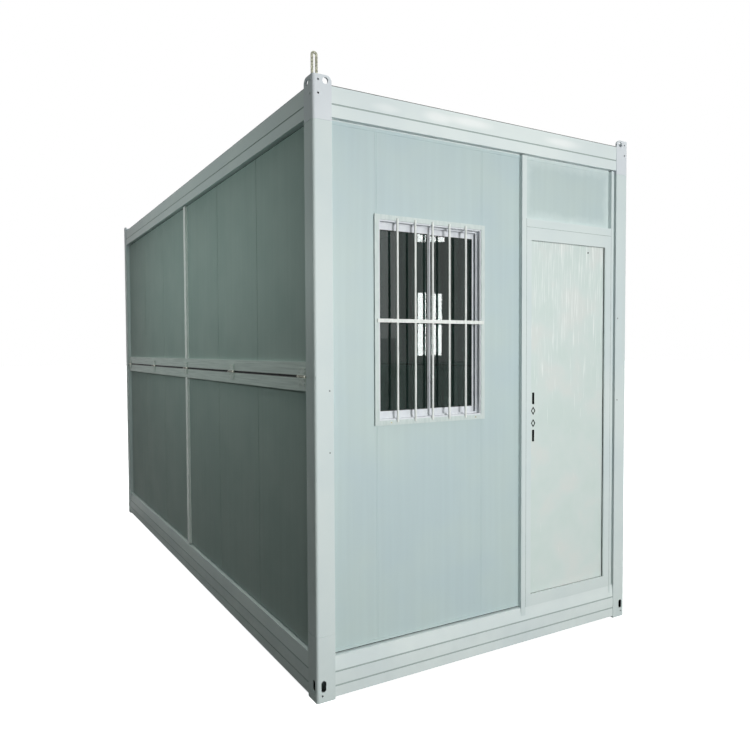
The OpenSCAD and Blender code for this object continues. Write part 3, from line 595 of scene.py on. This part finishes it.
# %% Start a piece
def block(low, high):
    """A box between two corners."""
    low, high = Vector(low), Vector(high)
    bpy.ops.object.select_all(action="DESELECT")
    bpy.ops.mesh.primitive_cube_add(size=1, location=(low + high) / 2)
    bpy.context.object.scale = high - low
    bpy.ops.object.transform_apply()
    return bpy.context.object


def round_bar(radius, height, sides=16):
    """An upright cylinder that stands on the origin."""
    bpy.ops.object.select_all(action="DESELECT")
    bpy.ops.mesh.primitive_cylinder_add(vertices=sides, radius=radius, depth=height,
                                        location=(0, 0, height / 2))
    bpy.ops.object.transform_apply()
    return bpy.context.object


def hoop(low, high, width, name):
    """An upright rectangular ring: a box whose front and back are inset and bridged."""
    piece = block(low, high)
    pick(piece, FRONT, both=True)
    bpy.ops.mesh.inset(thickness=width, use_individual=True)
    bpy.ops.mesh.bridge_edge_loops()
    bpy.ops.object.mode_set(mode="OBJECT")
    piece.name = name
    return piece


# %% Place, join and dress a piece
def spot(point, facing):
    """The place of a small model whose upward end points in the given direction."""
    turn = Vector(facing).to_track_quat("Z", "Y")
    return Matrix.Translation(Vector(point)) @ turn.to_matrix().to_4x4()


def joined(parts, name):
    """Joins several objects into one piece, with its place in its mesh."""
    bpy.ops.object.select_all(action="DESELECT")
    for part in parts:
        part.select_set(True)
    bpy.context.view_layer.objects.active = parts[0]
    bpy.ops.object.transform_apply()
    if len(parts) > 1:
        bpy.ops.object.join()
    piece = bpy.context.object
    piece.name = name
    return piece


def copies(model, spots, name):
    """Copies a small model to many places, each with its own mesh, and joins the copies."""
    made = []
    for place in spots:
        alone(model)
        bpy.ops.object.duplicate()
        bpy.context.object.matrix_world = place
        made.append(bpy.context.object)
    return joined(made, name)


SMOOTH_UNDER = math.radians(40)


def dress(piece, finish, body="house"):
    """Gives a piece its finish in its material slot, its smooth shading and the body that it moves with."""
    piece.data.materials.clear()
    piece.data.materials.append(finish)
    alone(piece)
    bpy.ops.object.shade_smooth_by_angle(angle=SMOOTH_UNDER)
    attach(piece, body)
    print(piece.name, len(piece.data.polygons), "faces")


# %% [markdown]
# ## Screws
# Two kinds of screw are enough: pan heads with a recess for the driver, and hexagon heads with a
# flange for the roof. A turned head could be spun from a profile. A cylinder whose top is bevelled,
# inset and pushed in takes fewer steps.

# %% Pan-head screw
PAN_R, PAN_H, PAN_ROUND = 4.6 * MM, 2.0 * MM, 0.9 * MM
RECESS_RIM, RECESS_DEEP = 1.6 * MM, 1.2 * MM
pan_screw = round_bar(PAN_R, PAN_H)
bevel(pan_screw, UP, PAN_ROUND, 2)
pick(pan_screw, UP, least=0.99)
bpy.ops.mesh.inset(thickness=RECESS_RIM)
bpy.ops.mesh.extrude_region_move(TRANSFORM_OT_translate={"value": (0, 0, -RECESS_DEEP)})
bpy.ops.object.mode_set(mode="OBJECT")
print("pan screw:", len(pan_screw.data.polygons), "faces")

# %% Hexagon-head screw
HEX_R, HEX_H, HEX_ROUND = 6.0 * MM, 5.0 * MM, 0.9 * MM
FLANGE_SLOPE, FLANGE_T, FLANGE_SPREAD = 0.8 * MM, 1.2 * MM, 1.7
hex_screw = round_bar(HEX_R, HEX_H, sides=6)
bevel(hex_screw, UP, HEX_ROUND, 1)
pick(hex_screw, -UP)
bpy.ops.mesh.extrude_region_move(TRANSFORM_OT_translate={"value": (0, 0, -FLANGE_SLOPE)})
bpy.ops.transform.resize(value=(FLANGE_SPREAD, FLANGE_SPREAD, 1.0))
bpy.ops.mesh.extrude_region_move(TRANSFORM_OT_translate={"value": (0, 0, -FLANGE_T)})
bpy.ops.mesh.select_all(action="SELECT")
bpy.ops.transform.translate(value=(0, 0, FLANGE_SLOPE + FLANGE_T))
bpy.ops.object.mode_set(mode="OBJECT")
print("hexagon screw:", len(hex_screw.data.polygons), "faces")

# %% [markdown]
# ## Fold line
# Each hinge of the long sides is held by eight screws, four in each plate, and its pin ends in two
# bright domes, which are the specks that catch the light along the fold line. A dome is a short
# cylinder whose outer edge is bevelled in three steps.

# %% Hinge screws
HINGES, HINGE_LENGTH = 5, 80 * MM
PLATE_FACE, BARREL_SET = 9 * MM, 7 * MM
SCREW_RISES, SCREW_OUT = (18 * MM, 36 * MM), 27 * MM
low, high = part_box("side_hinges")
hinge_step = (high.y - low.y - HINGE_LENGTH) / (HINGES - 1)
hinge_middles = [low.y + HINGE_LENGTH / 2 + i * hinge_step for i in range(HINGES)]
screw_spots, pin_spots = [], []
for side in (-1, 1):
    for y in hinge_middles:
        face = side * (cad_high.x - PLATE_FACE)
        screw_spots += [spot((face, y + out, fold_z + up * rise), (side, 0, 0))
                        for out in (-SCREW_OUT, SCREW_OUT) for up in (-1, 1) for rise in SCREW_RISES]
        barrel = side * (cad_high.x - BARREL_SET)
        pin_spots += [spot((barrel, y + end * HINGE_LENGTH / 2, fold_z), (0, end, 0)) for end in (-1, 1)]
dress(copies(pan_screw, screw_spots, "hinge_screws"), rail_coat)

# %% Pin ends
PIN_R, PIN_OUT, PIN_ROUND = 6.6 * MM, 6.0 * MM, 2.4 * MM
pin_end = round_bar(PIN_R, PIN_OUT)
bevel(pin_end, UP, PIN_ROUND, 3)
dress(copies(pin_end, pin_spots, "hinge_pin_ends"), bright_zinc)
bpy.data.objects.remove(pin_end)

# %% [markdown]
# ## Roof
# The sheet is screwed to the beams in every trough, with flanged hexagon screws, and a foam filler
# closes the end of each rib. The filler is a box whose top is narrowed to the shape of the rib. A
# strip of butyl lies along the outer edge of the roof beams, and is the thin dark line over them.

# %% Roof screws
RIB_PITCH, RIB_FOOT, RIB_TOP, RIB_H = 250 * MM, 70 * MM, 30 * MM, 18 * MM
SHEET_T, SCREW_EDGE = 2 * MM, 22 * MM
low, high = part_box("roof_sheet")
rib_steps = math.floor((high.y - low.y - RIB_FOOT) / RIB_PITCH)
ribs = [(i - rib_steps / 2) * RIB_PITCH for i in range(rib_steps + 1)]
troughs = [(a + b) / 2 for a, b in zip(ribs, ribs[1:])]
trough_z = low.z + SHEET_T
roof_spots = [spot((side * (high.x - SCREW_EDGE), y, trough_z), UP) for side in (-1, 1) for y in troughs]
dress(copies(hex_screw, roof_spots, "roof_screws"), zinc_plate)

# %% Rib fillers
FILLER_T, FILLER_IN, EASE = 20 * MM, 6 * MM, 0.4 * MM
DENT_RIM, DENT_DEEP = 3 * MM, 2 * MM
filler = block((-FILLER_T / 2, -RIB_FOOT / 2 + 2 * EASE, EASE),
               (FILLER_T / 2, RIB_FOOT / 2 - 2 * EASE, RIB_H - EASE))
pick(filler, UP)
bpy.ops.transform.resize(value=(1, RIB_TOP / RIB_FOOT, 1))
bpy.ops.object.mode_set(mode="OBJECT")
pick(filler, RIGHT, both=True)
bpy.ops.mesh.inset(thickness=DENT_RIM, depth=-DENT_DEEP, use_individual=True)
bpy.ops.object.mode_set(mode="OBJECT")
filler_spots = [Matrix.Translation((side * (high.x - FILLER_IN - FILLER_T / 2), y, low.z))
                for side in (-1, 1) for y in ribs]
dress(copies(filler, filler_spots, "rib_fillers"), seal_rubber)
bpy.data.objects.remove(filler)

# %% Butyl edge strip
POST_W, STRIP_SET = 96 * MM, 4 * MM
STRIP_W, STRIP_H, STRIP_ROUND = 8 * MM, 4 * MM, 1.5 * MM
strip_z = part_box("roof_beam_front")[1].z
top_z = strip_z + STRIP_H
end_x, end_y = cad_high.x - POST_W, cad_high.y - POST_W
out_x, out_y = cad_high.x - STRIP_SET, cad_high.y - STRIP_SET
strips = [block((-end_x, y, strip_z), (end_x, y + STRIP_W, top_z)) for y in (-out_y, out_y - STRIP_W)]
strips += [block((x, -end_y, strip_z), (x + STRIP_W, end_y, top_z)) for x in (-out_x, out_x - STRIP_W)]
edge_strip = joined(strips, "roof_edge_strip")
bevel(edge_strip, UP, STRIP_ROUND, 2)
dress(edge_strip, seal_rubber)

# %% [markdown]
# ## Lifting eye
# The eye is a sling of wire rope. Its strands are six small circles that the Screw modifier turns as
# it draws them upwards, and the Curve modifier then lays the straight rope along a bent path. The
# path is half a circle whose two ends are drawn down to the corner plate.

# %% Path of the rope
BEND_STEPS, HAIR = 24, 0.1 * MM
low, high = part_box("lifting_eye")
rope_r = (high.y - low.y) / 2
bend_r = (high.x - low.x) / 2 - rope_r
leg = high.z - low.z - rope_r - bend_r


def pick_points(piece, below):
    """Goes into edit mode with the points selected that lie below a height in y."""
    alone(piece)
    bpy.ops.object.mode_set(mode="EDIT")
    bpy.ops.mesh.select_mode(type="VERT")
    bpy.ops.mesh.select_all(action="DESELECT")
    bpy.ops.object.mode_set(mode="OBJECT")
    for corner in piece.data.vertices:
        corner.select = corner.co.y < below
    bpy.ops.object.mode_set(mode="EDIT")


bpy.ops.object.select_all(action="DESELECT")
bpy.ops.mesh.primitive_circle_add(vertices=2 * BEND_STEPS, radius=bend_r)
path = bpy.context.object
pick_points(path, -HAIR)
bpy.ops.mesh.delete(type="VERT")
bpy.ops.object.mode_set(mode="OBJECT")
pick_points(path, HAIR)
bpy.ops.mesh.extrude_region_move(TRANSFORM_OT_translate={"value": (0, -leg, 0)})
bpy.ops.object.mode_set(mode="OBJECT")
path.rotation_euler = (math.pi / 2, 0, 0)
path.location = ((low.x + high.x) / 2, (low.y + high.y) / 2, low.z + leg)
bpy.ops.object.transform_apply()
bpy.ops.object.convert(target="CURVE")
path = bpy.context.object
rope_length = 2 * leg + math.pi * bend_r
print("rope path:", round(rope_length / MM), "mm long")

# %% Wire rope
STRANDS, STRAND_SIDES, ROPE_TURNS, ROPE_STEPS = 6, 8, 3.5, 90
strand_r = rope_r / 3
strands = []
for i in range(STRANDS):
    turn = i * 2 * math.pi / STRANDS
    bpy.ops.object.select_all(action="DESELECT")
    bpy.ops.mesh.primitive_circle_add(
        vertices=STRAND_SIDES, radius=strand_r, fill_type="NGON",
        location=(2 * strand_r * math.cos(turn), 2 * strand_r * math.sin(turn), 0))
    strands.append(bpy.context.object)
rope = joined(strands, "lifting_rope")
screw = rope.modifiers.new("lay", "SCREW")
screw.angle = ROPE_TURNS * 2 * math.pi
screw.screw_offset = rope_length
screw.steps = screw.render_steps = ROPE_STEPS
screw.use_normal_calculate = True
bpy.ops.object.modifier_apply(modifier="lay")
bend = rope.modifiers.new("bend", "CURVE")
bend.object = path
bend.deform_axis = "POS_Z"
bpy.ops.object.modifier_apply(modifier="bend")
bpy.data.objects.remove(path)
dress(rope, galvanised)
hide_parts("lifting_eye")

# %% Pressed sleeve round the rope's two legs
SLEEVE_WALL, SLEEVE_H, SLEEVE_ROUND, SLEEVE_STEP = 3.5 * MM, 30 * MM, 6 * MM, 2 * MM
sleeve = block((low.x - SLEEVE_WALL, low.y - SLEEVE_WALL, low.z),
               (high.x + SLEEVE_WALL, high.y + SLEEVE_WALL, low.z + SLEEVE_H))
bevel(sleeve, RIGHT, SLEEVE_ROUND, 4, both=True)
pick(sleeve, UP)
bpy.ops.mesh.inset(thickness=SLEEVE_STEP, depth=SLEEVE_STEP)
bpy.ops.object.mode_set(mode="OBJECT")
sleeve.name = "rope_sleeve"
dress(sleeve, seal_rubber)

# %% [markdown]
# ## Window
# Black gaskets hold the panes in their sashes. Each is a box whose front and back are inset and
# bridged to a ring. The bars of the grille are welded to its flat frame, which leaves small lumps of
# weld under the paint: a ball, flattened, and roughened by the Displace modifier. Two screws show in
# the lower flat bar.

# %% Pane gaskets
SASH_STILE, SASH_RAIL, SASH_T, GLASS_T = 17 * MM, 36 * MM, 12 * MM, 5 * MM
GASKET_W, GASKET_SET = 4 * MM, 0.8 * MM
low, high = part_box("window_sashes")
pane_w = (high.x - low.x + SASH_STILE) / 2 - 2 * SASH_STILE
bead = (SASH_T - GLASS_T) / 2
gaskets = []
for left, front in ((low.x + SASH_STILE, low.y), (high.x - SASH_STILE - pane_w, high.y - SASH_T)):
    gaskets.append(hoop((left, front + GASKET_SET, low.z + SASH_RAIL),
                        (left + pane_w, front + bead, high.z - SASH_RAIL), GASKET_W, "gasket"))
dress(joined(gaskets, "pane_gaskets"), seal_rubber)

# %% Grille welds
FLAT_W, FLAT_T, BAR_COUNT, BAR_R, MID_H = 24 * MM, 5 * MM, 5, 6 * MM, 18 * MM
WELD_R, WELD_SHAPE, WELD_BACK = 4.5 * MM, (1.5, 0.8, 0.7), 1 * MM
LUMP_SIZE, LUMP_RISE = 5 * MM, 1.6 * MM
low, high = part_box("window_grille")
bar_step = (high.x - low.x - 2 * FLAT_W) / (BAR_COUNT + 1)
bar_places = [low.x + FLAT_W + (i + 1) * bar_step for i in range(BAR_COUNT)]
middle_z = (low.z + high.z) / 2
weld_heights = (low.z + FLAT_W, middle_z - MID_H / 2, middle_z + MID_H / 2, high.z - FLAT_W)
bpy.ops.object.select_all(action="DESELECT")
bpy.ops.mesh.primitive_ico_sphere_add(subdivisions=2, radius=WELD_R)
weld = bpy.context.object
weld.scale = WELD_SHAPE
bpy.ops.object.transform_apply()
lumps = weld.modifiers.new("lumps", "DISPLACE")
lumps.texture = bpy.data.textures.new("weld lumps", "CLOUDS")
lumps.texture.noise_scale = LUMP_SIZE
lumps.strength = LUMP_RISE
bpy.ops.object.modifier_apply(modifier="lumps")
weld_y = low.y + BAR_R + WELD_BACK
weld_spots = [Matrix.Translation((x, weld_y, z)) for x in bar_places for z in weld_heights]
dress(copies(weld, weld_spots, "grille_welds"), grille_enamel)
bpy.data.objects.remove(weld)

# %% Grille screws
GRILLE_SCREWS = (425 * MM, 950 * MM)
flat_face = high.y - FLAT_T
screw_spots = [spot((cad_low.x + x, flat_face, low.z + FLAT_W / 2), FRONT) for x in GRILLE_SCREWS]
dress(copies(pan_screw, screw_spots, "grille_screws"), zinc_plate)

# %% [markdown]
# ## Front wall
# The joints of the panels run from the corners of the window up to the roof and down to the floor.
# Each shows as two fine lips, which are thin bars with bevelled edges. A line in the material would
# be less work, but would not catch the light. Two screw heads show in each front post.

# %% Panel joints
TRIM_T, TRIM_W = 2 * MM, 14 * MM
LIP_W, LIP_H, LIP_APART, LIP_ROUND = 2.5 * MM, 0.8 * MM, 4 * MM, 0.5 * MM
window_low, window_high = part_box("window_frame")
grille_low, grille_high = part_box("window_grille")
panel_low, panel_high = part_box("front_panel_left")
panel_face = panel_low.y + TRIM_T
lips = []
for joint_x in (window_low.x, window_high.x):
    for z0, z1 in ((panel_low.z + TRIM_W, grille_low.z), (grille_high.z, panel_high.z - TRIM_W)):
        for x in (joint_x - LIP_APART, joint_x + LIP_APART):
            lips.append(block((x - LIP_W / 2, panel_face - LIP_H, z0), (x + LIP_W / 2, panel_face, z1)))
seams = joined(lips, "panel_joint_lips")
bevel(seams, FRONT, LIP_ROUND, 1)
dress(seams, end_skin)

# %% Post screws
POST_SCREW_X, POST_SCREW_SUNK = 76 * MM, 1.9 * MM
POST_SCREWS = {-1: (1460 * MM, 1171 * MM), 1: (1834 * MM, 1340 * MM)}
screw_spots = [spot((side * (cad_high.x - POST_SCREW_X), cad_low.y + POST_SCREW_SUNK, z), FRONT)
               for side, heights in POST_SCREWS.items() for z in heights]
# The post screw heads are black: painted shade in their countersinks.
dress(copies(pan_screw, screw_spots, "post_screws"), shade_black)

# %% [markdown]
# ## Lashing slots
# A black flap sits inside each slot in the long sides: painted shade of the bottom corners' hollow.
# It is a box whose outer face is inset and pushed in.

# %% Slot flaps
FLAP_W, FLAP_H, FLAP_THICK, WALL_T = 36 * MM, 66 * MM, 3 * MM, 4.5 * MM
FLAP_RIM, FLAP_DENT = 4 * MM, 1 * MM
SLOT_IN, SLOT_Z = 35 * MM, 76 * MM
flap = block((-FLAP_W / 2, -FLAP_H / 2, -FLAP_THICK), (FLAP_W / 2, FLAP_H / 2, 0))
pick(flap, UP)
bpy.ops.mesh.inset(thickness=FLAP_RIM, depth=-FLAP_DENT)
bpy.ops.object.mode_set(mode="OBJECT")
flap_spots = [spot((side * (cad_high.x - WALL_T), end * (cad_high.y - SLOT_IN), SLOT_Z), (side, 0, 0))
              for side in (-1, 1) for end in (-1, 1)]
# The flaps are black: painted shade inside the slots.
dress(copies(flap, flap_spots, "slot_flaps"), shade_black)
bpy.data.objects.remove(flap)

# %% [markdown]
# ## Door
# A black gasket lines the rebate that the leaf closes into, and is the dark line round the leaf. One
# screw shows in the leaf's upper right corner. Inside, each hinge flap has its screws. What sits on
# the leaf rides on the door, and the gasket stays with the house.

# %% Door gasket
GASKET_OUT, GASKET_WIDE, GASKET_BACK, LEAF_GAP = 7 * MM, 11 * MM, 2 * MM, 8 * MM
leaf_low, leaf_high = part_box("door_leaf")
door_gasket = hoop((leaf_low.x - GASKET_OUT, leaf_low.y - LEAF_GAP, leaf_low.z - GASKET_OUT),
                   (leaf_high.x + GASKET_OUT, leaf_low.y - GASKET_BACK, leaf_high.z + GASKET_OUT),
                   GASKET_WIDE, "door_gasket")
dress(door_gasket, seal_rubber)

# %% Screws of the door
LEAF_SCREW_X, LEAF_SCREW_Z = 1790 * MM, 2215 * MM
FLAP_SCREWS = (-36 * MM, 0.0, 36 * MM)
HINGE_SPAN, FLAP_T, FLAP_MIDDLE, JAMB_MIDDLE = 98 * MM, 3 * MM, 21 * MM, 12 * MM
leaf_mark = [spot((cad_low.x + LEAF_SCREW_X, leaf_low.y, LEAF_SCREW_Z), FRONT)]
# The leaf screw head is black: painted shade in its countersink.
dress(copies(pan_screw, leaf_mark, "leaf_screw"), shade_black, body="door")
flap_low, flap_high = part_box("door_hinge_leaves")
hinge_heights = (flap_low.z + HINGE_SPAN / 2, (flap_low.z + flap_high.z) / 2, flap_high.z - HINGE_SPAN / 2)
leaf_spots = [spot((flap_low.x + FLAP_MIDDLE, leaf_high.y + FLAP_T, z + rise), BACK)
              for z in hinge_heights for rise in FLAP_SCREWS]
dress(copies(pan_screw, leaf_spots, "door_screws"), zinc_plate, body="door")
plate_low, plate_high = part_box("door_hinge_frames")
frame_spots = [spot((plate_high.x - JAMB_MIDDLE, plate_low.y + FLAP_T, z + rise), BACK)
               for z in hinge_heights for rise in FLAP_SCREWS]
dress(copies(pan_screw, frame_spots, "jamb_screws"), zinc_plate)
for model in (pan_screw, hex_screw):
    bpy.data.objects.remove(model)

# %% [markdown]
# ## Lock
# The handle and its plates are missing. Thin black pieces lie on the leaf as painted shade of the
# lock's cut-outs: a cover over each slot, and a ring over each diamond mark. The cover is a box with
# rounded edges. The ring is a four-sided cylinder whose two ends are inset and bridged.

# %% Lock cut-outs, in painted shade
LOCK_X, LOCK_Z, LOCK_STEP, LOCK_RISE = 1361 * MM, 1164 * MM, 70 * MM, 0.5 * MM
SLOT_W, SLOT_H, SLOT_ROUND = 16 * MM, 66 * MM, 4 * MM
MARK_W, MARK_H, MARK_LINE = 32 * MM, 48 * MM, 9.5 * MM
lock_x, lock_face = cad_low.x + LOCK_X, leaf_low.y - LOCK_RISE
gaskets = []
# Black covers and rings on the leaf: painted shade of the lock's cut-outs.
for place in (0, 3):
    z = LOCK_Z + place * LOCK_STEP
    cover = block((lock_x - SLOT_W / 2, lock_face, z - SLOT_H / 2),
                  (lock_x + SLOT_W / 2, leaf_low.y, z + SLOT_H / 2))
    bevel(cover, UP, SLOT_ROUND, 4, both=True)
    gaskets.append(cover)
for place in (1, 2):
    mark = round_bar(0.5, LOCK_RISE, sides=4)
    pick(mark, UP, both=True)
    bpy.ops.mesh.inset(thickness=0.5 * MARK_LINE / MARK_W, use_individual=True)
    bpy.ops.mesh.bridge_edge_loops()
    bpy.ops.object.mode_set(mode="OBJECT")
    mark.scale = (MARK_W, MARK_H, 1)
    mark.rotation_euler = (math.pi / 2, 0, 0)
    mark.location = (lock_x, leaf_low.y, LOCK_Z + place * LOCK_STEP)
    gaskets.append(mark)
dress(joined(gaskets, "lock_cut_out_shade"), shade_black, body="door")

# %% [markdown]
# ## Covers and sealant lines
# A narrow cover strip closes most of the gap between the door's edge stile and the right post. Thin
# lines of grey sealant part the stile, the jambs, the head and the bar over the door. A trim under
# the roof beam hides the upper seal from the front.

# %% Edge cover
COVER_W, COVER_SET, COVER_LIFT, COVER_SHORT, COVER_ROUND = 12 * MM, 1 * MM, 2 * MM, 30 * MM, 2 * MM
stile_low, stile_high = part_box("front_stile")
cover_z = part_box("floor_beam_front")[1].z + COVER_LIFT
cover = block((stile_high.x, stile_low.y + COVER_SET, cover_z),
              (stile_high.x + COVER_W, stile_high.y - COVER_SHORT, stile_high.z))
bevel(cover, FRONT, COVER_ROUND, 2)
cover.name = "edge_cover_strip"
dress(cover, spray_enamel)

# %% Trims under the roof beam
HEAD_H, HEAD_T, HEAD_ROUND = 7 * MM, 6 * MM, 1 * MM
mullion_low, mullion_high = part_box("front_mullion")
trims = []
for x0, x1 in ((panel_low.x + TRIM_W, mullion_low.x), (mullion_high.x, stile_low.x)):
    trims.append(block((x0, panel_low.y, panel_high.z), (x1, panel_low.y + HEAD_T, panel_high.z + HEAD_H)))
head_trims = joined(trims, "head_trims")
bevel(head_trims, FRONT, HEAD_ROUND, 1)
dress(head_trims, spray_enamel)

# %% Sealant lines
LINE_W, LINE_H, LINE_ROUND = 2.4 * MM, 0.4 * MM, 0.5 * MM
bar_low, bar_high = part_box("transom_bar")
face_y, half = mullion_low.y, LINE_W / 2
lines = [(mullion_high.x, mullion_high.x, cover_z, bar_high.z),
         (stile_low.x, stile_low.x, cover_z, bar_high.z),
         (mullion_high.x, stile_low.x, bar_low.z, bar_low.z)]
threads = [block((x0 - half, face_y - LINE_H, z0 - half), (x1 + half, face_y + LINE_H, z1 + half))
           for x0, x1, z0, z1 in lines]
sealant = joined(threads, "frame_sealant_lines")
bevel(sealant, FRONT, LINE_ROUND, 2)
dress(sealant, grey_sealant)

# %% [markdown]
# ## The size of the dressed model
# The box of the dressed house is measured against the box of its solids, and the growth is printed.
# The dressed house has to keep the size of its solids.

# %% Compare the boxes
low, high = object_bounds()
print("grown by", [round((a - b) / MM, 1) for a, b in zip(high - low, cad_high - cad_low)], "mm")
